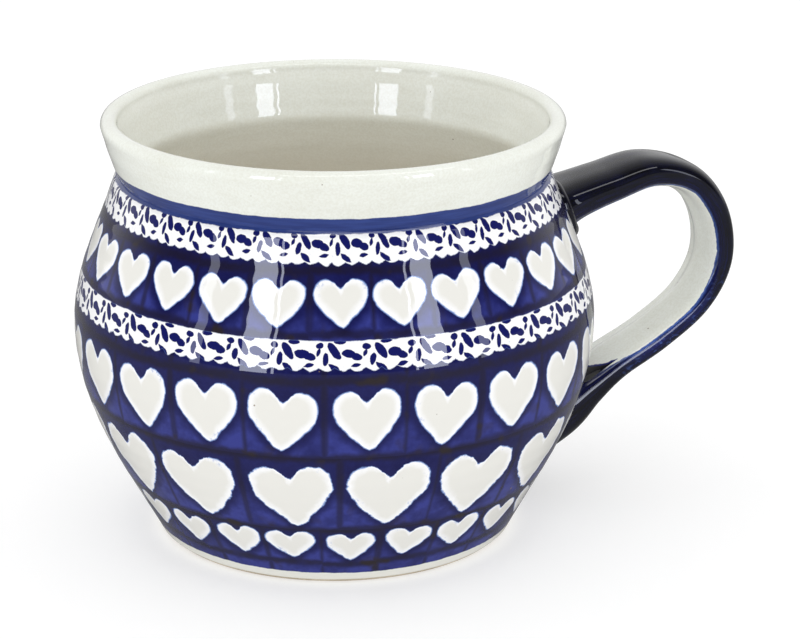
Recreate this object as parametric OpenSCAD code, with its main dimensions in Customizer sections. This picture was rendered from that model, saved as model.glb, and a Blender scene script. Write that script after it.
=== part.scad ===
// Stoneware belly mug: a thrown pot with a flared rim, a pulled strap handle luted on
// with slip, and the coats of fired glaze that cover them.
// Millimetres, +Z up. The foot ring stands on z = 0, the mug's axis is Z and the handle
// points along +X. Sizes are those of the fired and glazed surface.

/* [Body] */
// Height from the table to the top of the lip
height = 82.5; // [78:0.5:90]
// Radius of the belly at its widest
belly_r = 50.5; // [48:0.5:53]
// Height of the belly's widest ring
belly_z = 42; // [39:1:45]
// Radius of the foot at the table
foot_r = 34.4; // [32:0.2:36]
// How tightly the foot tucks in under the belly
foot_tuck = 1.08; // [1:0.02:1.2]
// Radius of the belly's shoulder, just under the neck crease
shoulder_r = 42.1; // [41:0.1:43]
// Share of S-curve in the shoulder
shoulder_sway = 0.3; // [0:0.05:0.6]
// Thickness of the wall, glaze included
wall_t = 4.4; // [3.6:0.1:5.5]
// Thickness of the floor, glaze included
floor_t = 4.6; // [4:0.1:6]

/* [Rim] */
// Height of the neck crease
neck_z = 70.6; // [68:0.2:72]
// Radius at the bottom of the neck crease
neck_r = 41.2; // [40:0.1:41.6]
// Radius of the flared rim at its widest
rim_r = 44.5; // [43:0.1:46]
// Thickness of the rounded lip
lip_t = 3.2; // [2.6:0.1:4]
// Thickness of the wall at the neck
neck_t = 2.8; // [2.6:0.1:3.6]
// How softly the inside turns from the rim into the shoulder
neck_round = 2.6; // [1.5:0.1:4]

/* [Foot] */
// Width of the bare ring that touches the table
ring_w = 5; // [4:0.1:6]
// Depth of the hollow inside the ring
recess_t = 1.9; // [1:0.1:2.2]
// Height where the glaze stops above the table
bare_z = 0.7; // [0.4:0.1:1]

/* [Glaze] */
// Thickness of the fired glaze
glaze_t = 0.35; // [0.25:0.05:0.5]
// Height where the cream foot band meets the blue
foot_line_z = 2.2; // [1.8:0.1:3]
// Height where the blue neck line meets the cream rim
blue_line_z = 73.8; // [73:0.1:75]

/* [Handle] */
// Distance from the mug's axis to the outermost point of the strap
reach = 85.6; // [80:0.2:90]
// Height of the strap's highest point
strap_top_z = 67.4; // [65:0.2:68]
// Width of the strap halfway round
strap_w = 13; // [12:0.5:16]
// Width of the strap where it joins the pot
root_w = 16.5; // [14:0.5:20]
// Thickness of the strap at the top
strap_top_t = 6.2; // [5:0.1:7]
// Thickness of the strap near the bottom
strap_low_t = 5; // [4.4:0.1:6]
// Extra thickness of the strap at its two roots
root_swell = 3.4; // [2:0.1:4]
// Further thickness of the strap where it spreads over the belly at the lower root
low_flare = 8.6; // [6:0.2:9]
// How far the slip bead stands out round each root
bead_h = 1.4; // [1:0.1:2]

/* [Hidden] */

round_fn = 180;            // fineness of the round solids
wall_steps = 30;           // points along the belly
rim_steps = 6;             // points along the rim
lip_steps = 10;            // points round the lip
crease_h = 0.3;            // height of the step at the neck crease
foot_edge = 0.5;           // bevel of the foot's outer edge
recess_bevel = 0.8;        // bevel of the foot ring's inner edge
inner_steps = 24;          // points inside, from the lip down to the widest ring
inner_neck_rise = 0.9;     // the inner neck sits this much above the outer crease
inner_flare = 0.35;        // share of outward curve in the rim's inside
floor_flat_r = 22;         // radius where the inner floor starts to curve up
floor_curl = 0.48;         // roundness of that curve
rim_bow = 0.2;             // share of outward curve in the rim
base_margin = 1.2;         // bare strip between the base glaze and the foot ring

floor_z = recess_t + floor_t;
lip_r = lip_t / 2;
lip_z = height - lip_r;
inner_neck_z = neck_z + inner_neck_rise;
inner_neck_r = neck_r - neck_t;
ring_in_r = foot_r - foot_edge - ring_w;

// Blend from a to b
function mix(a, b, t) = a + (b - a) * t;

// Radius of the glazed outside of the belly at height z
function belly_at(z) = z < belly_z
    ? foot_r + (belly_r - foot_r) * pow(sin(90 * z / belly_z), foot_tuck)
    : belly_r - (belly_r - shoulder_r) * shoulder_drop((z - belly_z) / (neck_z - belly_z));
function shoulder_drop(s) = mix(1 - cos(90 * s), (1 - cos(180 * s)) / 2, shoulder_sway);

// Radius of the glazed outside of the rim at height z
function rim_at(z) = neck_r + (rim_r - neck_r) * rim_share((z - neck_z) / (lip_z - neck_z));
function rim_share(s) = mix(s, sin(90 * s), rim_bow);

// Outside outlines as [radius, height] points, pulled in by d
function belly_line(d, low, high, n) = [for (i = [0:n])
    let (z = mix(low, high, i / n)) [belly_at(z) - d, z]];
function rim_line(d, low, high, n) = [for (i = [0:n])
    let (z = mix(low, high, i / n)) [rim_at(z) - d, z]];
function lip_line(d) = [for (i = [1:lip_steps - 1])
    let (a = 180 * i / lip_steps)
    [rim_r - lip_r + (lip_r - d) * cos(a), lip_z + (lip_r - d) * sin(a)]];

// Radius of the inside at height z: the rim's flare runs softly into the shoulder
function inner_rim_at(z) = let (s = (z - inner_neck_z) / (lip_z - inner_neck_z))
    mix(inner_neck_r, rim_r - lip_t, mix(s, s * s, inner_flare));
function inner_shoulder_at(z) = mix(belly_r - wall_t, inner_neck_r,
    shoulder_drop((z - belly_z) / (inner_neck_z - belly_z)));
function ease(s) = s < 0 ? 0 : s > 1 ? 1 : s * s * (3 - 2 * s);
function inner_wall_at(z) = mix(inner_shoulder_at(z), inner_rim_at(z),
    ease((z - inner_neck_z + neck_round) / (2 * neck_round)));

// Inside outline from the lip down to the floor's centre, pushed into the wall by d
function inner_wall_line(d) = [for (i = [0:inner_steps])
    let (z = mix(lip_z, belly_z, i / inner_steps)) [inner_wall_at(z) + d, z]];
function inner_bowl_line(d) = [for (i = [1:wall_steps / 2])
    let (s = 1 - i / (wall_steps / 2), rise = pow(s, 1 / floor_curl))
    [mix(floor_flat_r, belly_r - wall_t, pow(sin(90 * rise), floor_curl)) + d * sin(90 * s),
     mix(floor_z, belly_z, rise) - d * cos(90 * s)]];
function inside_line(d) = concat(inner_wall_line(d), inner_bowl_line(d), [[0, floor_z - d]]);

// Outlines of the three outside coats, pulled in by d
function foot_coat_line(d) = belly_line(d, bare_z, foot_line_z, 3);
function belly_coat_line(d) = concat(belly_line(d, foot_line_z, neck_z, wall_steps),
    rim_line(d, neck_z + crease_h, blue_line_z, 3));
function rim_coat_line(d) = concat(rim_line(d, blue_line_z, lip_z, rim_steps), lip_line(d));

function reversed(list) = [for (i = [len(list) - 1:-1:0]) list[i]];
function but_first(list) = [for (i = [1:len(list) - 1]) list[i]];

// Clay outline of the pot's outside, from the table to the blue line
clay_side = concat([[foot_r - foot_edge, 0], [belly_at(bare_z) - glaze_t, bare_z]],
    but_first(foot_coat_line(glaze_t)), but_first(belly_coat_line(glaze_t)));

// A coat of glaze between an outer and an inner outline
module coat(outer, inner) {
    rotate_extrude($fn = round_fn) polygon(concat(outer, reversed(inner)));
}

// The whole clay pot with no hollow, for trimming what is fixed to it
module clay_envelope() {
    rotate_extrude($fn = round_fn)
        polygon(concat([[0, 0]], clay_side, [[0, blue_line_z]]));
}

// The same with its glaze on
module glazed_envelope() {
    rotate_extrude($fn = round_fn)
        polygon(concat([[0, bare_z]], foot_coat_line(0), but_first(belly_coat_line(0)),
            [[0, blue_line_z]]));
}

// The strap's centre-line, as shares of the loop's width and height from the lower root
loop_in = 42;
loop_low = 9.8;
loop_knots = [[-0.05, 0.87], [0.145, 0.917], [0.385, 0.965], [0.615, 1], [0.835, 0.95],
              [0.97, 0.81], [0.995, 0.635], [0.885, 0.48], [0.67, 0.36], [0.44, 0.27],
              [0.28, 0.195], [0.12, 0.12], [-0.145, 0.06]];
loop_w = reach - strap_low_t / 2 - loop_in;
loop_h = strap_top_z - strap_top_t / 2 - loop_low;
knots = [for (k = loop_knots) [loop_in + loop_w * k[0], loop_low + loop_h * k[1]]];
last_knot = len(knots) - 1;

// Smooth curve through the knots, t from 0 at the upper root to 1 at the lower one
function knot(i) = i < 0 ? 2 * knots[0] - knots[1]
    : i > last_knot ? 2 * knots[last_knot] - knots[last_knot - 1] : knots[i];
function curve(a, b, c, d, s) = (2 * b + (c - a) * s + (2 * a - 5 * b + 4 * c - d) * s * s
    + (3 * b - a - 3 * c + d) * s * s * s) / 2;
function strap_at(t) = let (i = min(floor(t * last_knot), last_knot - 1), s = t * last_knot - i)
    curve(knot(i - 1), knot(i), knot(i + 1), knot(i + 2), s);
nudge = 0.001;
function unit(v) = v / norm(v);
function strap_out(t) = let (d = unit(strap_at(t + nudge) - strap_at(t - nudge))) [-d[1], d[0]];

// Width and thickness of the strap along the curve
width_flare = 2.2;
swell_flare = 4;
function ends(t) = abs(2 * t - 1);
function width_at(t) = mix(strap_w, root_w, pow(ends(t), width_flare));
function thick_at(t) = mix(strap_top_t, strap_low_t, t) + root_swell * pow(ends(t), swell_flare)
    + spread_at(t);
low_flare_from = 0.72;     // where the spreading starts
low_sag = 0.18;            // share of it that is added to the outer side
function spread_at(t) = let (s = max(0, (t - low_flare_from) / (1 - low_flare_from)))
    low_flare * (pow(s, 2) - pow(s, 6));
function centre_at(t) = strap_at(t) + strap_out(t) * low_sag * spread_at(t);

// Rounded section of the strap: angle 90 faces away from the pot, 270 faces it
squareness = 2.9;
function side(v) = sign(v) * pow(abs(v), 2 / squareness);
function section(angles, w, h) = [for (a = angles) [w / 2 * side(cos(a)), h / 2 * side(sin(a))]];

// The cream inner face lies between these two angles
cream_from = 222;
cream_to = 318;
cream_steps = 8;
cobalt_steps = 20;
cream_angles = [for (i = [0:cream_steps]) mix(cream_from, cream_to, i / cream_steps)];
cobalt_angles = [for (i = [0:cobalt_steps]) mix(cream_to, cream_from + 360, i / cobalt_steps)];
all_angles = concat(cobalt_angles, [for (i = [1:cream_steps - 1]) cream_angles[i]]);

// Place a flat section round the strap's centre at t, with its thickness along out
function placed(points, t, out) = let (c = centre_at(t))
    [for (p = points) [c[0] + out[0] * p[1], p[0], c[1] + out[1] * p[1]]];

// Solid through a row of rings that all have the same number of points
module loft(rings) {
    n = len(rings[0]);
    last = len(rings) - 1;
    sides = [for (i = [0:last - 1]) for (j = [0:n - 1]) let (k = (j + 1) % n)
        each [[i * n + j, (i + 1) * n + k, i * n + k], [i * n + j, (i + 1) * n + j, (i + 1) * n + k]]];
    caps = [[for (j = [0:n - 1]) j], [for (j = [n - 1:-1:0]) last * n + j]];
    polyhedron([for (r = rings) each r], concat(sides, caps), convexity = 6);
}

strap_steps = 44;
strap_stations = [for (i = [0:strap_steps]) i / strap_steps];

// Whole strap with its sides pulled in by d
module strap(d) {
    loft([for (t = strap_stations)
        placed(section(all_angles, width_at(t) - 2 * d, thick_at(t) - 2 * d), t, strap_out(t))]);
}

// Glaze on the part of the strap between the given angles
module strap_coat(angles) {
    loft([for (t = strap_stations) placed(concat(
        section(angles, width_at(t), thick_at(t)),
        section(reversed(angles), width_at(t) - 2 * glaze_t, thick_at(t) - 2 * glaze_t)),
        t, strap_out(t))]);
}

// Roll of slip round the strap, from station t0 to t1 and fattest in between. Its rings
// lie along the wall, which the strap meets at a slant.
bead_steps = 8;
bead_tuck = 0.6;           // how far the roll's two ends dive under the strap's surface
bead_angles = [for (i = [0:23]) i * 15];
upper_root = [0.05, 0.108];
lower_root = [0.935, 0.985];
function wall_dir(z) = unit([belly_at(z + 1) - belly_at(z - 1), 2]);
module bead(root, facing) {
    along = facing * wall_dir(strap_at((root[0] + root[1]) / 2)[1]);
    loft([for (i = [0:bead_steps])
        let (t = mix(root[0], root[1], i / bead_steps), x = 2 * i / bead_steps - 1,
             d = 2 * mix(-bead_tuck, bead_h, sqrt(1 - x * x)))
        placed(section(bead_angles, width_at(t) + d, (thick_at(t) + d) / (along * strap_out(t))),
            t, along)]);
}
module upper_bead() bead(upper_root, 1);
module lower_bead() bead(lower_root, -1);

// Thrown stoneware body: floor, belly wall, flared rim and foot ring
module pot() color([0.86, 0.82, 0.74]) {
    rotate_extrude($fn = round_fn) polygon(concat(
        [[ring_in_r, 0]], clay_side, but_first(rim_coat_line(glaze_t)), inside_line(glaze_t),
        [[0, recess_t], [ring_in_r - recess_bevel, recess_t]]));
}

// Pulled clay strap
module handle() color([0.86, 0.82, 0.74]) {
    difference() {
        strap(glaze_t);
        clay_envelope();
    }
}

// Rolls of slip that lute the strap to the pot
module upper_slip_joint() color([0.06, 0.07, 0.2]) {
    difference() {
        upper_bead();
        strap(glaze_t);
        clay_envelope();
    }
}
module lower_slip_joint() color([0.06, 0.07, 0.2]) {
    difference() {
        lower_bead();
        strap(glaze_t);
        clay_envelope();
    }
}

// Cream glaze of the rim, the lip and the whole inside
module liner_glaze() color([0.93, 0.92, 0.87]) {
    coat(concat(rim_coat_line(0), inside_line(0)), concat(rim_coat_line(glaze_t), inside_line(glaze_t)));
}

// Blue decorated coat of the belly, open where the two joints sit
module belly_glaze() color([0.12, 0.16, 0.48]) {
    difference() {
        coat(belly_coat_line(0), belly_coat_line(glaze_t));
        upper_bead();
        lower_bead();
    }
}

// Cream band between the blue and the bare foot ring
module foot_glaze() color([0.93, 0.92, 0.87]) {
    coat(foot_coat_line(0), foot_coat_line(glaze_t));
}

// Clear coat on the base inside the foot ring
module base_glaze() color([0.9, 0.88, 0.82]) {
    translate([0, 0, recess_t - glaze_t])
        cylinder(r = ring_in_r - recess_bevel - base_margin, h = glaze_t, $fn = round_fn);
}

// Cobalt coat of the strap's outside and edges
module handle_cobalt_glaze() color([0.05, 0.06, 0.2]) {
    difference() {
        strap_coat(cobalt_angles);
        upper_bead();
        lower_bead();
        glazed_envelope();
    }
}

// Cream coat of the strap's inner face
module handle_inner_glaze() color([0.93, 0.92, 0.87]) {
    difference() {
        strap_coat(cream_angles);
        upper_bead();
        lower_bead();
        glazed_envelope();
    }
}

pot();
handle();
upper_slip_joint();
lower_slip_joint();
liner_glaze();
belly_glaze();
foot_glaze();
base_glaze();
handle_cobalt_glaze();
handle_inner_glaze();
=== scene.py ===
"""Looks for a round-bellied stoneware mug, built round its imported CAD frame.

The pot, its coats of glaze and its strap are turned and lofted here to the same drawing as the
CAD solids, and dressed in procedural glazes. The drawing is in millimetres, the meshes in metres.
"""

import logging
import math
from dataclasses import dataclass, field
from enum import Enum
from typing import Any, Sequence

import bpy
import numpy as np
from mathutils import Matrix, Vector

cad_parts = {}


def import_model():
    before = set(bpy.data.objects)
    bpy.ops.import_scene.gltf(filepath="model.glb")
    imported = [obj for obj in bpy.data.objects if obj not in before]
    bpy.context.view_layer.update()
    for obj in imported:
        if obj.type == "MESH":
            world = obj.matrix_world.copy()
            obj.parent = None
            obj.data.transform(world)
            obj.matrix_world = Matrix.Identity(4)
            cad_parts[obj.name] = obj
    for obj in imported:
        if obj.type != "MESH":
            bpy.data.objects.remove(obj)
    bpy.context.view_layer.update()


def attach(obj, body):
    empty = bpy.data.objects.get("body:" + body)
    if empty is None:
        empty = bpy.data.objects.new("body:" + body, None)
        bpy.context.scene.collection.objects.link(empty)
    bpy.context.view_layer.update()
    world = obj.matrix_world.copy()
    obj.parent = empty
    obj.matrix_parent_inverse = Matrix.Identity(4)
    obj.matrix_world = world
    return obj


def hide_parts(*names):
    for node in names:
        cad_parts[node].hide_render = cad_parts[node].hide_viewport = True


MM = 0.001
WRAP = "Wrap"
BAKE = "OFBake"
WRAP_MM = 100  # length on the wall for 1 of the wrap map
ON_AXIS = 1e-6  # a radius below this lies on the axis
SHARP_ANGLE = 38  # edges steeper than this stay sharp, in degrees

log = logging.getLogger("mug")

Colour = tuple[float, float, float]
Outline = np.ndarray


def mix(a: float, b: float, share: Any) -> Any:
    """Returns the blend from a to b."""
    return a + (b - a) * share


def smooth(value: Any, low: float, high: float) -> Any:
    """Returns 0 below low, 1 above high and an S-curve in between."""
    share = np.clip((value - low) / (high - low), 0, 1)
    return share * share * (3 - 2 * share)


def tint(red: int, green: int, blue: int) -> Colour:
    """Returns the linear colour of an 8-bit screen colour."""
    shares = (red / 255, green / 255, blue / 255)
    return tuple(s / 12.92 if s <= 0.04045 else ((s + 0.055) / 1.055) ** 2.4 for s in shares)


class Slot(Enum):
    """Material slots of the record."""

    STONEWARE = "stoneware"
    SLIP = "slip"
    CREAM = "cream_glaze"
    DECOR = "blue_decor_glaze"
    COBALT = "cobalt_glaze"


# ---------------------------------------------------------------- shader graph


@dataclass(frozen=True)
class Value:
    """One number that varies over a surface: an output socket that takes part in sums."""

    graph: "Graph"
    socket: bpy.types.NodeSocket

    def __add__(self, other: Any) -> "Value":
        """Returns self + other."""
        return self.graph.maths("ADD", self, other)

    __radd__ = __add__

    def __sub__(self, other: Any) -> "Value":
        """Returns self - other."""
        return self.graph.maths("SUBTRACT", self, other)

    def __rsub__(self, other: Any) -> "Value":
        """Returns other - self."""
        return self.graph.maths("SUBTRACT", other, self)

    def __mul__(self, other: Any) -> "Value":
        """Returns self * other."""
        return self.graph.maths("MULTIPLY", self, other)

    __rmul__ = __mul__

    def __truediv__(self, other: Any) -> "Value":
        """Returns self / other."""
        return self.graph.maths("DIVIDE", self, other)

    def __pow__(self, other: Any) -> "Value":
        """Returns self ** other."""
        return self.graph.maths("POWER", self, other)

    def __mod__(self, other: Any) -> "Value":
        """Returns self % other, never negative."""
        return self.graph.maths("FLOORED_MODULO", self, other)

    def __gt__(self, other: Any) -> "Value":
        """Returns 1 where self is above other."""
        return self.graph.maths("GREATER_THAN", self, other)

    def __abs__(self) -> "Value":
        """Returns the size of self without its sign."""
        return self.graph.maths("ABSOLUTE", self)

    def floor(self) -> "Value":
        """Returns self rounded down."""
        return self.graph.maths("FLOOR", self)

    def sine(self) -> "Value":
        """Returns the sine of self in radians."""
        return self.graph.maths("SINE", self)

    def at_least(self, other: Any) -> "Value":
        """Returns the larger of self and other."""
        return self.graph.maths("MAXIMUM", self, other)

    def at_most(self, other: Any) -> "Value":
        """Returns the smaller of self and other."""
        return self.graph.maths("MINIMUM", self, other)

    def ramp(self, low: float, high: float, start: float = 0, end: float = 1) -> "Value":
        """Fades smoothly between two values as self goes from low to high.

        Args:
            low: where the fade starts.
            high: where it ends; below low for a fade the other way.
            start: value at low.
            end: value at high.

        Returns:
            The faded value.
        """
        if high < low:
            low, high, start, end = high, low, end, start
        settings = {"interpolation_type": "SMOOTHSTEP"}
        sockets = {0: self, 1: low, 2: high, 3: start, 4: end}
        return Value(self.graph, self.graph.node("MapRange", settings, sockets).outputs[0])


class Graph:
    """Adds nodes to one node tree."""

    def __init__(self, tree: bpy.types.NodeTree) -> None:
        """Empties the tree.

        Args:
            tree: the node tree of a material or a world.
        """
        self.tree = tree
        tree.nodes.clear()

    def node(self, kind: str, settings: dict | None = None, sockets: dict | None = None) -> Any:
        """Adds one node.

        Args:
            kind: node type without its ShaderNode prefix.
            settings: the node's own properties, set first.
            sockets: values or links, by input name or number.

        Returns:
            The new node.
        """
        made = self.tree.nodes.new("ShaderNode" + kind)
        for name, value in (settings or {}).items():
            setattr(made, name, value)
        for key, value in (sockets or {}).items():
            self.feed(made.inputs[key], value)
        return made

    def feed(self, target: bpy.types.NodeSocket, value: Any) -> None:
        """Links a socket or sets its value.

        Args:
            target: input socket.
            value: a number, a colour, a Value or an output socket.
        """
        if isinstance(value, Value):
            value = value.socket
        if isinstance(value, bpy.types.NodeSocket):
            self.tree.links.new(value, target)
        elif isinstance(value, tuple) and len(value) == 3 and target.type == "RGBA":
            target.default_value = (*value, 1)
        else:
            target.default_value = value

    def maths(self, operation: str, *values: Any) -> Value:
        """Returns the result of one Math node."""
        made = self.node("Math", {"operation": operation}, dict(enumerate(values)))
        return Value(self, made.outputs[0])

    def vector(self, operation: str, *values: Any) -> bpy.types.NodeSocket:
        """Returns the vector from one Vector Math node."""
        made = self.node("VectorMath", {"operation": operation}, dict(enumerate(values)))
        return made.outputs["Vector"]

    def join(self, x: Any, y: Any, z: Any = 0.0) -> bpy.types.NodeSocket:
        """Returns the vector of three numbers."""
        return self.node("CombineXYZ", {}, {0: x, 1: y, 2: z}).outputs[0]

    def split(self, vector: bpy.types.NodeSocket) -> tuple[Value, Value, Value]:
        """Returns the three numbers of a vector."""
        outputs = self.node("SeparateXYZ", {}, {0: vector}).outputs
        return Value(self, outputs[0]), Value(self, outputs[1]), Value(self, outputs[2])

    def blend(self, share: Any, a: Any, b: Any, kind: str = "MIX") -> bpy.types.NodeSocket:
        """Blends two colours.

        Args:
            share: 0 for a, 1 for b.
            a: first colour.
            b: second colour.
            kind: way of blending.

        Returns:
            The colour socket.
        """
        settings = {"data_type": "RGBA", "blend_type": kind}
        return self.node("Mix", settings, {0: share, 6: a, 7: b}).outputs[2]

    def noise(
        self, place: Any, grain: float, detail: float = 2, rough: float = 0.5, stretch: Any = None
    ) -> tuple[Value, bpy.types.NodeSocket]:
        """Adds soft noise.

        Args:
            place: coordinates in mm.
            grain: size of the blotches in mm.
            detail: octaves of finer noise.
            rough: strength of the finer octaves.
            stretch: three factors on the coordinates, if not even.

        Returns:
            The noise as a number round 0.5, and as three numbers in a vector.
        """
        if stretch:
            place = self.vector("MULTIPLY", place, stretch)
        sockets = {"Vector": place, "Scale": 1 / grain, "Detail": detail, "Roughness": rough}
        outputs = self.node("TexNoise", {}, sockets).outputs
        return Value(self, outputs["Fac"]), outputs["Color"]

    def skin(self) -> bpy.types.NodeSocket:
        """Returns the place on the surface in mm."""
        place = self.node("TexCoord").outputs["Object"]
        return self.vector("MULTIPLY", place, (1 / MM,) * 3)

    def wrap(self) -> tuple[Value, Value]:
        """Returns the two numbers of the piece's wrap map."""
        u, v, _ = self.split(self.node("UVMap", {"uv_map": WRAP}).outputs[0])
        return u, v

    def bump(self, height: Any, depth: float) -> bpy.types.NodeSocket:
        """Returns the normal of a surface raised by height times depth in mm."""
        sockets = {"Strength": 1.0, "Distance": depth * MM, "Height": height}
        return self.node("Bump", {}, sockets).outputs[0]


# ---------------------------------------------------------------- finishes


@dataclass(frozen=True)
class Finish:
    """A surface finish made of nodes."""

    name: str
    slot: Slot

    def material(self) -> bpy.types.Material:
        """Returns the finish's material, made once.

        Returns:
            The material.
        """
        made = bpy.data.materials.get(self.name)
        if made is None:
            made = bpy.data.materials.new(self.name)
            made.use_nodes = True
            graph = Graph(made.node_tree)
            shader = self.surface(graph)
            graph.node("OutputMaterial", {}, {"Surface": shader.outputs[0]})
        return made

    def surface(self, graph: Graph) -> Any:
        """Adds the finish's shader node; each finish has its own."""
        raise NotImplementedError


@dataclass(frozen=True)
class Glaze(Finish):
    """A coat of fired glass over a coloured ground."""

    polish: float = 0.02
    peel: float = 0.004

    def glass(self, graph: Graph, colour: Any) -> Any:
        """Adds the shader of a glossy glaze.

        Args:
            graph: graph to add to.
            colour: colour of the ground under the glass.

        Returns:
            The shader node.
        """
        skin = graph.skin()
        slow, _ = graph.noise(skin, 7, 1)
        fine, _ = graph.noise(skin, 1.6, 2)
        height = slow * (self.peel * 60) + fine * (self.peel * 8)
        rough = graph.noise(skin, 3.5, 3)[0].ramp(0.35, 0.75, 0.45, 0.6)
        sockets = {
            "Base Color": colour,
            "Roughness": rough,
            "Specular IOR Level": 0.06,
            "Coat Weight": 1.0,
            "Coat Roughness": self.polish,
            "Coat IOR": 1.52,
            "Normal": graph.bump(height, 0.1),
        }
        return graph.node("BsdfPrincipled", {}, sockets)


@dataclass(frozen=True)
class CreamGlaze(Glaze):
    """Clear glaze over pale clay, with tiny iron specks, and optionally painted shade that turns it darker
    and warmer lower down.
    """

    ground: Colour = tint(244, 247, 240)
    shade: Colour = tint(230, 231, 220)
    speck: Colour = tint(120, 98, 78)
    speck_share: float = 0.1
    # Painted shade: the colour it turns to lower down, and the heights where it starts and where it is
    # full; off at 0.
    painted_shade: Colour = tint(229, 222, 208)
    painted_shade_from: float = 0.0
    painted_shade_to: float = 0.0

    def clay(self, graph: Graph) -> bpy.types.NodeSocket:
        """Returns the colour of the clay seen through clear glaze, with any painted shade lower down.

        Args:
            graph: graph to add to.

        Returns:
            The colour socket.
        """
        skin = graph.skin()
        cloud, _ = graph.noise(skin, 16, 2)
        grain, _ = graph.noise(skin, 0.45, 2)
        rings, _ = graph.noise(skin, 1.1, 1, stretch=(0.12, 0.12, 1.0))
        depth = cloud.ramp(0.3, 0.7) * 0.35 + grain.ramp(0.3, 0.7) * 0.5 + rings.ramp(0.3, 0.7) * 0.15
        colour = graph.blend(depth, self.ground, self.shade)
        # Painted shade: darker and warmer lower down, standing in for shade and light bounced off the cream
        # walls inside the mug.
        if self.painted_shade_from > 0:
            _, _, z = graph.split(skin)
            level = z + (cloud - 0.5) * 6
            colour = graph.blend(level.ramp(self.painted_shade_from, self.painted_shade_to), colour, self.painted_shade)
        return self.specks(graph, skin, colour)

    def specks(self, graph: Graph, skin: Any, colour: Any) -> bpy.types.NodeSocket:
        """Adds small brown iron spots.

        Args:
            graph: graph to add to.
            skin: place on the surface in mm.
            colour: colour without the spots.

        Returns:
            The colour with them.
        """
        for cell, size, share in ((2.6, 0.13, self.speck_share), (7.0, 0.24, self.speck_share * 1.6)):
            cells = graph.node("TexVoronoi", {}, {"Vector": skin, "Scale": 1 / cell})
            near = Value(graph, cells.outputs["Distance"]) * cell
            chance, radius, _ = graph.split(cells.outputs["Color"])
            spot = near / (radius * size + size * 0.45)
            mask = spot.ramp(1.25, 0.75) * (chance > 1 - share) * 0.8
            colour = graph.blend(mask, colour, self.speck)
        return colour

    def surface(self, graph: Graph) -> Any:
        """Adds the shader of clear glaze over pale clay."""
        return self.glass(graph, self.clay(graph))


@dataclass(frozen=True)
class BareClay(Finish):
    """Fired stoneware with no glaze on it."""

    ground: Colour = tint(214, 203, 182)
    dark: Colour = tint(178, 162, 138)

    def surface(self, graph: Graph) -> Any:
        """Adds the shader of bare clay: gritty, with the rings left by turning.

        Args:
            graph: graph to add to.

        Returns:
            The shader node.
        """
        skin = graph.skin()
        grit, _ = graph.noise(skin, 0.35, 3, 0.6)
        cloud, _ = graph.noise(skin, 9, 3)
        x, y, z = graph.split(skin)
        radius = graph.maths("SQRT", x * x + y * y)
        rings, _ = graph.noise(graph.join(radius, z), 0.5, 2)
        depth = grit.ramp(0.35, 0.7) * 0.5 + cloud.ramp(0.35, 0.65) * 0.5
        sockets = {
            "Base Color": graph.blend(depth, self.ground, self.dark),
            "Roughness": grit.ramp(0.3, 0.7, 0.62, 0.8),
            "Specular IOR Level": 0.35,
            "Normal": graph.bump(grit * 0.5 + rings, 0.06),
        }
        return graph.node("BsdfPrincipled", {}, sockets)


# ---------------------------------------------------------------- drawing of the pot


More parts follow.
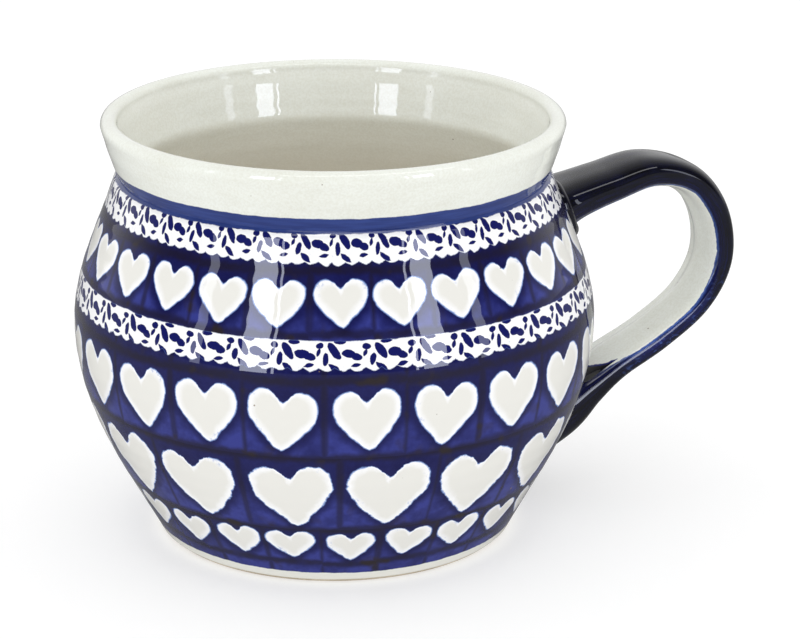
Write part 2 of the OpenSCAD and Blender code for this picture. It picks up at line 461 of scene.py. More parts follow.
@dataclass(frozen=True)
class PotDrawing:
    """Sizes and outlines of the thrown pot, in mm. They repeat the CAD drawing."""

    height: float = 82.5
    belly_r: float = 50.5
    belly_z: float = 42
    foot_r: float = 34.4
    foot_tuck: float = 1.08
    shoulder_r: float = 42.1
    shoulder_sway: float = 0.3
    wall_t: float = 4.4
    neck_z: float = 70.6
    neck_r: float = 41.2
    rim_r: float = 44.5
    lip_r: float = 1.6
    inner_neck: tuple[float, float] = (38.4, 71.5)
    inner_flare: float = 0.35
    neck_round: float = 2.6
    floor_z: float = 6.5
    floor_flat_r: float = 22
    floor_curl: float = 0.48
    rim_bow: float = 0.2
    crease: float = 0.45
    ring_in_r: float = 28.9
    recess_t: float = 1.9
    bare_z: float = 0.7
    glaze_t: float = 0.35
    foot_line_z: float = 2.2
    blue_line_z: float = 73.8

    @property
    def lip_z(self) -> float:
        """Height of the lip's centre."""
        return self.height - self.lip_r

    def drop(self, share: Any) -> Any:
        """Returns how far the shoulder has come in, from 0 at the belly to 1 at the neck."""
        turn = math.pi / 2 * share
        return mix(1 - np.cos(turn), (1 - np.cos(2 * turn)) / 2, self.shoulder_sway)

    def wall(self, z: Any) -> Any:
        """Returns the radius of the glazed outside at height z, from the foot to the lip's centre.

        Args:
            z: one or more heights.

        Returns:
            The radius at each height.
        """
        z = np.asarray(z, float)
        swell = np.sin(math.pi / 2 * np.clip(z, 0, self.belly_z) / self.belly_z)
        low = self.foot_r + (self.belly_r - self.foot_r) * swell**self.foot_tuck
        share = (z - self.belly_z) / (self.neck_z - self.belly_z)
        high = self.belly_r - (self.belly_r - self.shoulder_r) * self.drop(share)
        share = np.clip((z - self.neck_z) / (self.lip_z - self.neck_z), 0, 1)
        flare = mix(share, np.sin(math.pi / 2 * share), self.rim_bow)
        rim = self.neck_r + (self.rim_r - self.neck_r) * flare
        belly = np.where(z < self.belly_z, low, high)
        return mix(belly, rim, smooth(z, self.neck_z - self.crease, self.neck_z + self.crease))

    def outside(self, low: float, high: float, step: float, inset: float = 0) -> Outline:
        """Draws the outside between two heights.

        Args:
            low: lower height.
            high: upper height.
            step: spacing of the points.
            inset: how far the outline is pulled in.

        Returns:
            Rows of radius and height, going up.
        """
        z = np.linspace(low, high, max(3, round((high - low) / step)) + 1)
        return np.stack([self.wall(z) - inset, z], 1)

    def lip(self, inset: float = 0, count: int = 20) -> Outline:
        """Returns the round lip from outside to inside, its two ends left out.

        Args:
            inset: how far the outline is pulled in.
            count: steps round the lip.

        Returns:
            Rows of radius and height.
        """
        turn = math.pi * np.arange(1, count) / count
        radius = self.lip_r - inset
        centre = self.rim_r - self.lip_r
        return np.stack([centre + radius * np.cos(turn), self.lip_z + radius * np.sin(turn)], 1)

    def inner_wall(self, z: Any) -> Any:
        """Returns the radius of the inside at height z, from the widest ring to the lip's centre.

        Args:
            z: one or more heights.

        Returns:
            The radius at each height.
        """
        neck_r, neck_z = self.inner_neck
        share = (z - neck_z) / (self.lip_z - neck_z)
        flare = mix(share, share * share, self.inner_flare)
        rim = mix(neck_r, self.rim_r - 2 * self.lip_r, flare)
        share = (z - self.belly_z) / (neck_z - self.belly_z)
        shoulder = mix(self.belly_r - self.wall_t, neck_r, self.drop(share))
        return mix(shoulder, rim, smooth(z, neck_z - self.neck_round, neck_z + self.neck_round))

    def inside(self, inset: float = 0) -> Outline:
        """Draws the inside from the lip to the middle of the floor.

        Args:
            inset: how far the outline is pushed into the wall.

        Returns:
            Rows of radius and height, going down and ending on the axis.
        """
        belly_in = self.belly_r - self.wall_t
        z = np.linspace(self.lip_z, self.belly_z, 79)
        wall = np.stack([self.inner_wall(z) + inset, z], 1)
        share = np.linspace(1, 0, 70)[1:]
        rise = share ** (1 / self.floor_curl)
        curl = np.sin(math.pi / 2 * rise) ** self.floor_curl
        tilt = math.pi / 2 * share
        bowl = np.stack(
            [
                mix(self.floor_flat_r, belly_in, curl) + inset * np.sin(tilt),
                mix(self.floor_z, self.belly_z, rise) - inset * np.cos(tilt),
            ],
            1,
        )
        flat = np.linspace(1, 0, 12)[1:]
        floor = np.stack([bowl[-1, 0] * flat, np.full(11, bowl[-1, 1])], 1)
        return np.concatenate([wall, bowl, floor])

    def arc(self, z: Any) -> Any:
        """Returns the length along the outside from the table to height z.

        Args:
            z: one or more heights.

        Returns:
            The length at each height in mm.
        """
        grid = np.linspace(0, self.lip_z, 4000)
        radius = self.wall(grid)
        steps = np.hypot(np.diff(radius), np.diff(grid))
        return np.interp(z, grid, np.concatenate([[0], np.cumsum(steps)]))

    def wobble(self, azimuth: Any, z: Any) -> Any:
        """Returns how far a hand-thrown wall falls short of its drawing at a place.

        Args:
            azimuth: one or more angles round the axis, in radians.
            z: height.

        Returns:
            The shortfall in mm, from 0 to 0.24.
        """
        rings = 0.02 * np.sin(z * 1.9 + 0.6 * np.sin(azimuth * 2)) + 0.02 * np.sin(z * 0.83 + 1.3)
        sway = 0.05 * np.sin(2 * azimuth + 0.7 + z * 0.05) + 0.03 * np.sin(3 * azimuth - z * 0.09)
        return (0.12 - rings - sway) * smooth(z, 1.0, 12.0)


# ---------------------------------------------------------------- decoration


@dataclass(frozen=True)
class HeartRow:
    """One ring of stamped hearts. Lengths are mm along the wall, facing is degrees from the strap."""

    count: int
    facing: float
    tip: float
    top: float
    width: float
    ragged: float
    girth: float

    @property
    def pitch(self) -> float:
        """Distance between two hearts in mm."""
        return 2 * math.pi * self.girth / self.count


@dataclass(frozen=True)
class SprigBand:
    """One ring of small painted leaves on a white ground."""

    count: int
    facing: float
    low: float
    high: float
    girth: float

    @property
    def pitch(self) -> float:
        """Length of one repeat in mm."""
        return 2 * math.pi * self.girth / self.count


@dataclass(frozen=True)
class Leaf:
    """One brush mark of a sprig. Lengths are shares of the repeat, down is counted from the top."""

    across: float
    down: float
    slant: float
    length: float
    width: float
    blunt: float = 1

    def mask(self, graph: Graph, x: Value, y: Value, pitch: Any) -> Value:
        """Draws the mark.

        Args:
            graph: graph to add to.
            x: place across the repeat, as a share of it.
            y: place below the band's top, as a share of the repeat.
            pitch: length of the repeat in mm.

        Returns:
            A value above 0 inside the mark, about its depth in mm.
        """
        cos, sin = math.cos(math.radians(self.slant)), math.sin(math.radians(self.slant))
        side = x - self.across
        side = side - graph.maths("ROUND", side)
        fall = y - self.down
        along = (side * cos - fall * sin) / (self.length / 2)
        off = abs(side * sin + fall * cos) / (self.width / 2)
        if self.blunt > 1:
            off = off**self.blunt
        return (1 - off - along * along) * (self.width / 2 * pitch)


@dataclass(frozen=True)
class DecoratedGlaze(CreamGlaze):
    """Clear glaze over sponge-stamped hearts, sprig bands and brushed blue lines."""

    navy: Colour = tint(6, 7, 72)
    field_blue: Colour = tint(50, 57, 138)
    line_dark: Colour = tint(24, 18, 44)
    rust: Colour = tint(44, 35, 30)
    line_blue: Colour = tint(50, 70, 138)
    leaf_blue: Colour = tint(10, 17, 96)
    white: Colour = tint(253, 253, 254)
    heart_mid: Colour = tint(236, 235, 229)
    film: Colour = tint(120, 152, 215)
    rows: tuple[HeartRow, ...] = (
        HeartRow(23, -107.7, 7.0, 14.5, 9.5, 0.7, 41.5),
        HeartRow(16, -99.5, 16.6, 31.6, 16.2, 1.2, 48.0),
        HeartRow(21, -105.2, 35.4, 47.4, 12.7, 0.6, 50.3),
        HeartRow(26, -110.3, 58.7, 67.2, 9.8, 0.5, 45.8),
    )
    bands: tuple[SprigBand, ...] = (
        SprigBand(37, -102.0, 51.2, 56.5, 49.6),
        SprigBand(38, -109.1, 70.2, 76.2, 43.4),
    )
    borders: tuple[float, ...] = (15.5, 33.8, 54.0)
    band_border: float = 63.0
    ruled: tuple[float, ...] = (5.6, 15.5, 33.8, 49.2, 57.3, 68.9)
    seeds: tuple[float, ...] = (3.0, 11.0, 23.0, 41.0)
    leaves: tuple[Leaf, ...] = (
        Leaf(0.00, 0.26, -62, 0.46, 0.18, 2),
        Leaf(0.30, 0.32, -8, 0.31, 0.22, 2),
        Leaf(0.47, 0.40, -28, 0.26, 0.19, 2),
        Leaf(-0.31, 0.13, 0, 0.18, 0.16, 2),
        Leaf(-0.18, 0.46, 84, 0.33, 0.13, 2),
        Leaf(0.01, 0.68, -42, 0.36, 0.14),
        Leaf(0.46, 0.62, 12, 0.24, 0.11),
        Leaf(0.12, 0.03, 0, 0.26, 0.12, 2),
        Leaf(0.66, 0.30, 70, 0.22, 0.09),
    )
    leaf_rise: float = 7.2

    def by_row(self, above: Sequence[Value], values: Sequence[float]) -> Any:
        """Makes a value that changes from row to row.

        Args:
            above: masks that are 1 above each border.
            values: one value per row, from the lowest row up.

        Returns:
            The value of the row that a place lies in.
        """
        total: Any = values[0]
        for mask, low, high in zip(above, values, values[1:]):
            total = total + mask * (high - low)
        return total

    def repeats(self, graph: Graph, turn: Value, count: Any, facing: Any) -> tuple[Value, Value]:
        """Cuts the turn into repeats.

        Args:
            graph: not used.
            turn: share of a full turn round the pot.
            count: number of repeats.
            facing: degrees of the middle of one of them.

        Returns:
            The repeat's number, and the place in it from -0.5 to 0.5.
        """
        place = (turn - facing / 360) * count
        number = (place + 0.5).floor()
        return number % count, place - number

    def hearts(self, graph: Graph, turn: Value, arc: Value, jitter: Any) -> dict[str, Any]:
        """Lays out the four rows of hearts.

        Args:
            graph: graph to add to.
            turn: share of a full turn round the pot.
            arc: length along the wall in mm.
            jitter: wobble of the edges in mm, as a vector.

        Returns:
            Masks and distances by name: depth inside a heart, height in its cell, distance to
            the cell's side, and three random shares of the cell.
        """
        above = [arc > border for border in self.borders]

        def pick(name: str) -> Any:
            """Returns one size of the row that a place lies in."""
            return self.by_row(above, [getattr(row, name) for row in self.rows])

        number, across = self.repeats(graph, turn, pick("count"), pick("facing"))
        row = self.by_row(above, self.seeds)
        dice = graph.node("TexWhiteNoise", {"noise_dimensions": "2D"}, {0: graph.join(number, row)})
        first, second, third = graph.split(dice.outputs["Color"])
        pitch, ragged = pick("pitch"), pick("ragged")
        shift_x, shift_y, _ = graph.split(jitter)
        x = across * pitch + shift_x * ragged + (first - 0.5) * 0.7
        tip, top = pick("tip"), pick("top")
        rise = top - tip
        y = arc - (tip + rise * 0.55) + shift_y * ragged + (second - 0.5) * 0.6
        lean = (third - 0.5) * 0.16
        half_w = pick("width") / 2 * (0.97 + first * 0.06)
        half_h = rise / 2
        right = abs((x + y * lean) / half_w)
        up = (y - x * lean) / half_h
        reach = graph.maths("SQRT", right * right + up * up)
        angle = graph.maths("ARCTAN2", right, up) / math.pi
        edge = self.heart_edge(graph, angle)
        depth = (edge - reach) * (half_w + half_h) / 2
        return {
            "depth": depth,
            "up": up,
            "side": (0.5 - abs(across + (second - 0.5) * 0.05)) * pitch,
            "dice": (first, second, third),
        }

    def heart_edge(self, graph: Graph, angle: Value) -> Value:
        """Returns the reach of a heart's edge at an angle from straight up, 1 for straight down.

        Args:
            graph: graph to add to.
            angle: the angle as a share of half a turn.

        Returns:
            The reach, about 1 on the heart's outline.
        """
        tallest = 1.25
        points = (
            (0, 0.5), (0.05, 0.58), (0.11, 0.86), (0.18, 1.07), (0.28, 1.13), (0.4, 1.04),
            (0.5, 0.93), (0.61, 0.82), (0.73, 0.785), (0.85, 0.84), (0.95, 1.02), (1, 1.1),
        )
        made = graph.node("FloatCurve", {}, {"Value": angle})
        curve = made.mapping.curves[0]
        for at, reach in points[1:-1]:
            curve.points.new(at, reach / tallest)
        curve.points[0].location = (0, points[0][1] / tallest)
        curve.points[-1].location = (1, points[-1][1] / tallest)
        made.mapping.update()
        return Value(graph, made.outputs[0]) * tallest

    def surface(self, graph: Graph) -> Any:
        """Adds the shader of the decorated belly.

        Args:
            graph: graph to add to.

        Returns:
            The shader node.
        """
        turn, length = graph.wrap()
        arc = length * WRAP_MM
        skin = graph.skin()
        _, slow = graph.noise(skin, 2.6, 1)
        _, quick = graph.noise(skin, 0.8, 2, 0.6)
        slow = graph.vector("SUBTRACT", slow, (0.5,) * 3)
        quick = graph.vector("SUBTRACT", quick, (0.5,) * 3)
        jitter = graph.vector(
            "ADD",
            graph.vector("MULTIPLY", slow, (1.1,) * 3),
            graph.vector("MULTIPLY", quick, (0.55,) * 3),
        )
        heart = self.hearts(graph, turn, arc, jitter)
        blotch, _ = graph.noise(skin, 5, 3, 0.6)
        sponge, _ = graph.noise(skin, 0.9, 3, 0.65)
        colour = self.sponged(graph, skin, arc, heart, jitter, blotch, sponge)
        colour = self.fill(graph, heart, colour, blotch, sponge)
        colour = self.sprigs(graph, turn, arc, jitter, colour, sponge)
        colour = self.neck_line(graph, skin, arc, jitter, colour)
        return self.glass(graph, self.specks(graph, skin, colour))

    def sponged(
        self, graph: Graph, skin: Any, arc: Value, heart: dict, jitter: Any, blotch: Value, sponge: Value
    ) -> Any:
        """Colours the blue ground between the hearts.

        Args:
            graph: graph to add to.
            skin: place on the surface in mm.
            arc: length along the wall in mm.
            heart: what hearts() returned.
            jitter: wobble of the edges in mm, as a vector.
            blotch: large uneven patches.
            sponge: fine texture of the stamp.

        Returns:
            The colour.
        """
        _, second, third = heart["dice"]
        away = heart["depth"] * -1
        low_corner = away.ramp(0.3, 2.6) * heart["up"].ramp(0.35, -0.75)
        thin = (low_corner * 0.85 + 0.14) * blotch.ramp(0.3, 0.68, 0.45, 1.15)
        thin = thin * (0.75 + third * 0.4) + (sponge - 0.5) * 0.22
        colour = graph.blend(thin.at_least(0).at_most(1), self.navy, self.field_blue)
        shift, _, _ = graph.split(jitter)
        nearest: Any = None
        for line in self.ruled:
            gap = abs(arc - line + shift * 0.8 + (second - 0.5) * 0.8)
            nearest = gap if nearest is None else nearest.at_most(gap)
        rule = nearest.ramp(1.5, 0.2) * 0.85
        post = heart["side"].ramp(0.95, 0.1) * away.ramp(0.0, 0.4) * 0.7
        lines = rule.at_least(post) * blotch.ramp(0.25, 0.55, 0.55, 1)
        colour = graph.blend(lines, colour, self.line_dark)
        spots, _ = graph.noise(skin, 4.2, 1)
        rusty = spots.ramp(0.6, 0.74) * (0.3 + lines * 0.6)
        return graph.blend(rusty, colour, self.rust)

    def fill(self, graph: Graph, heart: dict, colour: Any, blotch: Value, sponge: Value) -> Any:
        """Lays the pale hearts over the ground.

        Args:
            graph: graph to add to.
            heart: what hearts() returned.
            colour: colour of the ground.
            blotch: large uneven patches.
            sponge: fine texture of the stamp.

        Returns:
            The colour.
        """
        depth = heart["depth"]
        pale = graph.blend(depth.ramp(0.2, 1.8), self.white, self.heart_mid)
        veil = depth.ramp(1.5, 0.1) * (blotch * 0.6 + sponge * 0.5).ramp(0.62, 0.78)
        pale = graph.blend(veil * 0.8, pale, self.film)
        edge = graph.blend(depth.ramp(-0.28, 0.02), colour, self.film)
        return graph.blend(depth.ramp(-0.1, 0.22), edge, pale)

    def sprigs(
        self, graph: Graph, turn: Value, arc: Value, jitter: Any, colour: Any, sponge: Value
    ) -> Any:
        """Lays the two sprig bands over the ground.

        Args:
            graph: graph to add to.
            turn: share of a full turn round the pot.
            arc: length along the wall in mm.
            jitter: wobble of the edges in mm, as a vector.
            colour: colour below the bands.
            sponge: fine texture of the stamp.

        Returns:
            The colour.
        """
        upper = arc > self.band_border

        def pick(name: str) -> Any:
            """Returns one size of the nearer band."""
            return self.by_row([upper], [getattr(band, name) for band in self.bands])

        pitch = pick("pitch")
        _, across = self.repeats(graph, turn, pick("count"), pick("facing"))
        shift_x, shift_y, _ = graph.split(jitter)
        x = across + shift_x * 0.55 / pitch
        y = (pick("high") - arc - shift_y * 0.5) / self.leaf_rise
        ink: Any = None
        for leaf in self.leaves:
            mark = leaf.mask(graph, x, y, pitch)
            ink = mark if ink is None else ink.at_least(mark)
        scallop = abs((across * math.pi * 3).sine()) * 0.55
        floor = pick("low") + 0.45 - scallop + shift_y * 0.9
        inside = (arc - floor).ramp(-0.14, 0.14) * (pick("high") + shift_y * 0.4 - arc).ramp(-0.12, 0.12)
        ground = graph.blend(sponge.ramp(0.66, 0.8) * 0.5, self.white, self.film)
        band = graph.blend(ink.ramp(-0.07, 0.07), ground, self.leaf_blue)
        halo = graph.blend((arc - floor).ramp(-0.5, -0.05), colour, self.film)
        colour = graph.blend((arc - floor).ramp(-0.45, -0.1) * inside.ramp(0, 0.5) * 0.5, colour, halo)
        return graph.blend(inside, colour, band)

    def neck_line(self, graph: Graph, skin: Any, arc: Value, jitter: Any, colour: Any) -> Any:
        """Adds the brushed blue line at the neck, and the bare edges above and below the blue.

        Args:
            graph: graph to add to.
            skin: place on the surface in mm.
            arc: length along the wall in mm.
            jitter: wobble of the edges in mm, as a vector.
            colour: colour of the belly.

        Returns:
            The colour.
        """
        pot = PotDrawing()
        shift, _, _ = graph.split(jitter)
        start, end = float(pot.arc(pot.neck_z)) - 0.2, float(pot.arc(pot.blue_line_z)) - 0.35
        low = float(pot.arc(pot.foot_line_z)) + 0.3
        drift, _ = graph.noise(skin, 14, 1)
        streak, _ = graph.noise(skin, 1.0, 2, stretch=(0.12, 0.12, 1.4))
        line = graph.blend(streak.ramp(0.3, 0.7), self.line_blue, self.navy)
        line = graph.blend(0.35, self.line_blue, line)
        colour = graph.blend((arc - start + shift * 0.5).ramp(-0.15, 0.15), colour, line)
        bare = self.clay(graph)
        colour = graph.blend((arc - end + shift * 0.25 + (drift - 0.5) * 0.6).ramp(-0.1, 0.1), colour, bare)
        return graph.blend((low + shift * 0.35 + (drift - 0.5) * 0.5 - arc).ramp(-0.12, 0.12), colour, bare)


@dataclass(frozen=True)
class CobaltGlaze(CreamGlaze):
    """Clear glaze over brushed cobalt, thinner and bluer along the strap's edges, with a pale line at the
    inner edges that is partly thin cobalt and partly a painted highlight.
    """

    deep: Colour = tint(3, 3, 11)
    blue: Colour = tint(18, 30, 112)
    # Pale cobalt for the dabs, and for the edge line, which is partly a painted highlight.
    pale_cobalt_and_highlight: Colour = tint(84, 116, 196)
    edges: bool = True

    def surface(self, graph: Graph) -> Any:
        """Adds the shader of brushed cobalt.

        Args:
            graph: graph to add to.

        Returns:
            The shader node.
        """
        skin = graph.skin()
        along, share = graph.wrap()
        streak, _ = graph.noise(graph.join(along * 14, share * 90), 1.0, 3, 0.6)
        patch, _ = graph.noise(skin, 5, 2)
        thin = (streak.ramp(0.42, 0.72) * 0.3 + patch.ramp(0.5, 0.75) * 0.14) * 0.45
        if not self.edges:
            return self.glass(graph, graph.blend(thin, self.deep, self.blue))
        border = share.at_most(1 - share)
        jitter, _ = graph.noise(skin, 1.1, 2, 0.6)
        sway, _ = graph.noise(skin, 6, 1)
        lower = along.ramp(0.5, 0.66) * along.ramp(0.87, 0.78)
        bare = lower * 0.045
        margin = border - bare + (jitter - 0.5) * 0.03 + (sway - 0.5) * 0.03
        brush = streak.ramp(0.36, 0.66)
        edge = margin.ramp(0.2, 0.03) * (0.3 + lower * 0.7) * (0.35 + brush * 0.65)
        colour = graph.blend((thin + edge).at_most(1), self.deep, self.blue)
        dabs, _ = graph.noise(skin, 1.3, 3, 0.65, (1.0, 1.0, 1.6))
        speckle = dabs.ramp(0.52, 0.66) * margin.ramp(0.03, 0.1) * margin.ramp(0.3, 0.2)
        colour = graph.blend(speckle * lower * brush * 0.6, colour, self.pale_cobalt_and_highlight)
        # Pale line along the inner edges: cobalt breaking thin on the edge, and partly a painted highlight.
        rim = margin.ramp(0.065, 0.03) * streak.ramp(0.34, 0.56) * along.ramp(0.9, 0.8)
        colour = graph.blend(rim * (0.6 + lower * 0.3), colour, self.pale_cobalt_and_highlight)
        bare_edge = margin.ramp(0.02, 0.01) * along.ramp(0.88, 0.84)
        return self.glass(graph, graph.blend(bare_edge, colour, self.clay(graph)))


@dataclass(frozen=True)
class StrapCreamGlaze(CobaltGlaze):
    """Clear glaze over pale clay, brushed over with cobalt in the corners of the strap's roots."""

    end: float = 107.0
    corner: float = 27.0
    upper: float = 9.0

    def surface(self, graph: Graph) -> Any:
        """Adds the shader of the strap's inner face.

        Args:
            graph: graph to add to.

        Returns:
            The shader node.
        """
        skin = graph.skin()
        along, share = graph.wrap()
        border = share.at_most(1 - share)
        jitter, _ = graph.noise(skin, 1.1, 2, 0.6)
        sway, _ = graph.noise(skin, 4, 1)
        wander = (jitter - 0.5) * 1.2 + (sway - 0.5) * 2.4
        low = self.corner - border * 12 + wander - (self.end - along * WRAP_MM)
        high = self.upper + wander - along * WRAP_MM
        inside = low.at_least(high)
        paint = graph.blend(inside.ramp(0.1, 1.4), self.blue, self.deep)
        colour = graph.blend(inside.ramp(-0.15, 0.2), self.clay(graph), paint)
        return self.glass(graph, colour)


@dataclass(frozen=True)
class FloorPaint(Finish):
    """Plain pale studio floor."""

    ground: Colour = (0.55, 0.55, 0.55)
    glow: float = 0.48
    mirrored: float = 0.25

    def surface(self, graph: Graph) -> Any:
        """Adds the shader of a matt, faintly lit floor that stays dim in reflections.

        Args:
            graph: graph to add to.

        Returns:
            The shader node.
        """
        glossy = Value(graph, graph.node("LightPath").outputs["Is Glossy Ray"])
        share = 1 - glossy * (1 - self.mirrored)
        level = graph.join(share, share, share)
        sockets = {
            "Base Color": graph.blend(1.0, level, self.ground, "MULTIPLY"),
            "Roughness": 0.9,
            "Specular IOR Level": 0.1,
            "Emission Color": graph.blend(1.0, level, (1.0, 1.0, 1.0), "MULTIPLY"),
            "Emission Strength": self.glow,
        }
        return graph.node("BsdfPrincipled", {}, sockets)


# ---------------------------------------------------------------- meshes


@dataclass
class Shape:
    """Points, faces and maps of one piece, in mm."""

    points: np.ndarray
    faces: list[tuple[int, ...]]
    maps: dict[str, list[tuple[float, float]]] = field(default_factory=dict)

    def piece(self, name: str, finish: Finish, nodes: Sequence[str]) -> bpy.types.Object:
        """Makes the piece, dresses it and ties it to the frame.

        Args:
            name: name of the piece.
            finish: its finish.
            nodes: CAD nodes it stands for.

        Returns:
            The new object.
        """
        mesh = bpy.data.meshes.new(name)
        mesh.from_pydata((self.points * MM).tolist(), [], self.faces)
        for map_name, corners in self.maps.items():
            layer = mesh.uv_layers.new(name=map_name)
            layer.data.foreach_set("uv", np.asarray(corners, np.float32).ravel())
        mesh.polygons.foreach_set("use_smooth", [True] * len(mesh.polygons))
        mesh.set_sharp_from_angle(angle=math.radians(SHARP_ANGLE))
        mesh.validate()
        mesh.materials.append(finish.material())
        made = bpy.data.objects.new(name, mesh)
        bpy.context.scene.collection.objects.link(made)
        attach(made, "root")
        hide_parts(*nodes)
        log.info("%s: %d faces", name, len(self.faces))
        return made


@dataclass
class Wheel:
    """Turns outlines into round solids, a little uneven as a thrown pot is."""

    drawing: PotDrawing
    segments: int = 320

    def turned(self, outline: Outline, lengths: Any = None, closed: bool = True) -> Shape:
        """Turns a ring of radius and height into a closed solid.

        Args:
            outline: rows of radius and height, anticlockwise seen with the axis on the left.
            lengths: wrap-map length of each row in mm, or None for the outline's own length.
            closed: False for an outline that starts and ends on the axis.

        Returns:
            The solid, with its wrap map.
        """
        azimuth = np.arange(self.segments) * 2 * math.pi / self.segments
        if lengths is None:
            steps = np.hypot(*np.diff(outline, axis=0).T)
            lengths = np.concatenate([[0], np.cumsum(steps)])
        points: list[tuple[float, float, float]] = []
        starts: list[int] = []
        for radius, z in outline:
            starts.append(len(points))
            if radius < ON_AXIS:
                points.append((0.0, 0.0, z))
                continue
            ring = radius - self.drawing.wobble(azimuth, z) * min(1, radius / 30)
            points += list(zip(ring * np.cos(azimuth), ring * np.sin(azimuth), [z] * len(azimuth)))
        faces: list[tuple[int, ...]] = []
        wrap: list[tuple[float, float]] = []
        rows = len(outline)
        for low in range(rows if closed else rows - 1):
            high = (low + 1) % rows
            low_v, high_v = lengths[low] / WRAP_MM, lengths[high] / WRAP_MM
            for j in range(self.segments):
                k = (j + 1) % self.segments
                u, w = j / self.segments, (j + 1) / self.segments
                a, b = starts[low], starts[high]
                if outline[low][0] < ON_AXIS:
                    faces.append((a, b + k, b + j))
                    wrap += [(u, low_v), (w, high_v), (u, high_v)]
                elif outline[high][0] < ON_AXIS:
                    faces.append((a + j, a + k, b))
                    wrap += [(u, low_v), (w, low_v), (u, high_v)]
                else:
                    faces.append((a + j, a + k, b + k, b + j))
                    wrap += [(u, low_v), (w, low_v), (w, high_v), (u, high_v)]
        return Shape(np.array(points), faces, {WRAP: wrap})


@dataclass
class Pot:
    """The thrown pot: clay body and its four coats of glaze."""

    drawing: PotDrawing = field(default_factory=PotDrawing)
    step: float = 0.7
    base_r: float = 26.9

    def __post_init__(self) -> None:
        """Sets up the wheel."""
        self.wheel = Wheel(self.drawing)

    def build(self) -> None:
        """Builds every piece of the pot."""
        self.clay()
        self.belly()
        self.liner()
        self.foot()
        self.base()

    def clay(self) -> None:
        """Builds the clay body: what shows of it is the foot ring and the hollow inside it."""
        d, inset = self.drawing, self.drawing.glaze_t
        ring_out = d.foot_r - 0.5
        corner = np.array(
            [[ring_out - 0.35, 0.0], [ring_out - 0.1, 0.06], [d.wall(d.bare_z) - inset, d.bare_z]]
        )
        side = d.outside(d.bare_z, d.lip_z, 1.2, inset)[1:]
        inner = d.inside(inset)[::3]
        inner[-1] = (0.0, d.floor_z - inset)
        hollow = np.array(
            [
                [0.0, d.recess_t],
                [12.0, d.recess_t],
                [24.0, d.recess_t],
                [d.ring_in_r - 1.3, d.recess_t],
                [d.ring_in_r - 0.75, d.recess_t - 0.12],
                [d.ring_in_r - 0.4, d.recess_t - 0.5],
                [d.ring_in_r - 0.08, 0.25],
                [d.ring_in_r + 0.12, 0.05],
                [d.ring_in_r + 0.4, 0.0],
            ]
        )
        outline = np.concatenate([hollow, corner, side, d.lip(inset, 12), inner])
        shape = self.wheel.turned(outline, closed=False)
        shape.piece("clay_body", BareClay("bare_clay", Slot.STONEWARE), ["pot"])

    def shell(self, outer: Outline, inner: Outline, start: float) -> Shape:
        """Turns a coat of glaze.

        Args:
            outer: outline of its outside.
            inner: outline of the side that lies on the clay, going the same way.
            start: length along the wall where the outside starts.

        Returns:
            The coat.
        """
        steps = np.hypot(*np.diff(outer, axis=0).T)
        lengths = start + np.concatenate([[0], np.cumsum(steps)])
        back = np.interp(
            np.linspace(0, 1, len(inner)), np.linspace(0, 1, len(lengths)), lengths
        )[::-1]
        if outer[-1, 0] < ON_AXIS:
            outline = np.concatenate([inner[::-1], outer])
            return self.wheel.turned(outline, np.concatenate([back, lengths]))
        outline = np.concatenate([outer, inner[::-1]])
        return self.wheel.turned(outline, np.concatenate([lengths, back]))

    def belly(self) -> None:
        """Builds the decorated coat, with a bake map of four strips."""
        d = self.drawing
        outer = d.outside(d.foot_line_z, d.blue_line_z, self.step)
        inner = d.outside(d.foot_line_z, d.blue_line_z, 2.5, d.glaze_t)
        start, end = float(d.arc(d.foot_line_z)), float(d.arc(d.blue_line_z))
        shape = self.shell(outer, inner, start)
        rows, sides = len(outer) - 1, self.wheel.segments
        shape.maps[BAKE] = self.strips(shape.maps[WRAP], rows * sides * 4, start / WRAP_MM, end / WRAP_MM)
        finish = DecoratedGlaze("stamped_blue_glaze", Slot.DECOR)
        shape.piece("decorated_belly_coat", finish, ["belly_glaze"])

    def strips(
        self, wrap: Sequence[tuple[float, float]], shown: int, low: float, high: float
    ) -> list[tuple[float, float]]:
        """Lays the wrap map out as four strips in a square, and what doesn't show along one edge.

        Args:
            wrap: corners of the wrap map.
            shown: how many of them belong to the outside.
            low: the outside's lowest wrap value.
            high: its highest.

        Returns:
            Corners of the bake map.
        """
        places = np.asarray(wrap)
        middle = np.repeat(places[: shown].reshape(-1, 4, 2).mean(1), 4, axis=0)
        quarter = np.clip((middle[:, 0] * 4).astype(int), 0, 3)
        across = places[:shown, 0] * 4 - quarter
        up = (places[:shown, 1] - low) / (high - low)
        column, row = quarter % 2, quarter // 2
        flat = np.empty_like(places)
        flat[:shown, 0] = (column + 0.01 + 0.98 * across) / 2
        flat[:shown, 1] = (row + 0.01 + 0.98 * up) * 0.47
        rest = places[shown:]
        flat[shown:, 0] = 0.01 + 0.98 * rest[:, 0]
        flat[shown:, 1] = 0.95 + 0.04 * np.clip((rest[:, 1] - low) / (high - low), 0, 1)
        return [tuple(corner) for corner in flat]

    def liner(self) -> None:
        """Builds the cream coat of the rim, the lip and the inside."""
        d = self.drawing

        def line(inset: float) -> Outline:
            """Returns the coat's outline from the blue line over the lip to the floor's middle.

            Args:
                inset: how far the outline is pushed into the clay.

            Returns:
                Rows of radius and height.
            """
            rim = d.outside(d.blue_line_z, d.lip_z, self.step, inset)
            inside = d.inside(inset)
            inside[-1] = (0.0, d.floor_z - inset)
            return np.concatenate([rim, d.lip(inset), inside])

        outer, hidden = line(0), line(d.glaze_t)
        inner = np.concatenate([hidden[:-1:3], hidden[-1:]])
        start = float(d.arc(d.blue_line_z))
        shape = self.shell(outer, inner, start)
        # The liner gets painted shade, darker and warmer from the neck down into the hollow.
        finish = CreamGlaze("cream_liner_glaze", Slot.CREAM, painted_shade_from=74, painted_shade_to=44)
        shape.piece("cream_liner_coat", finish, ["liner_glaze"])

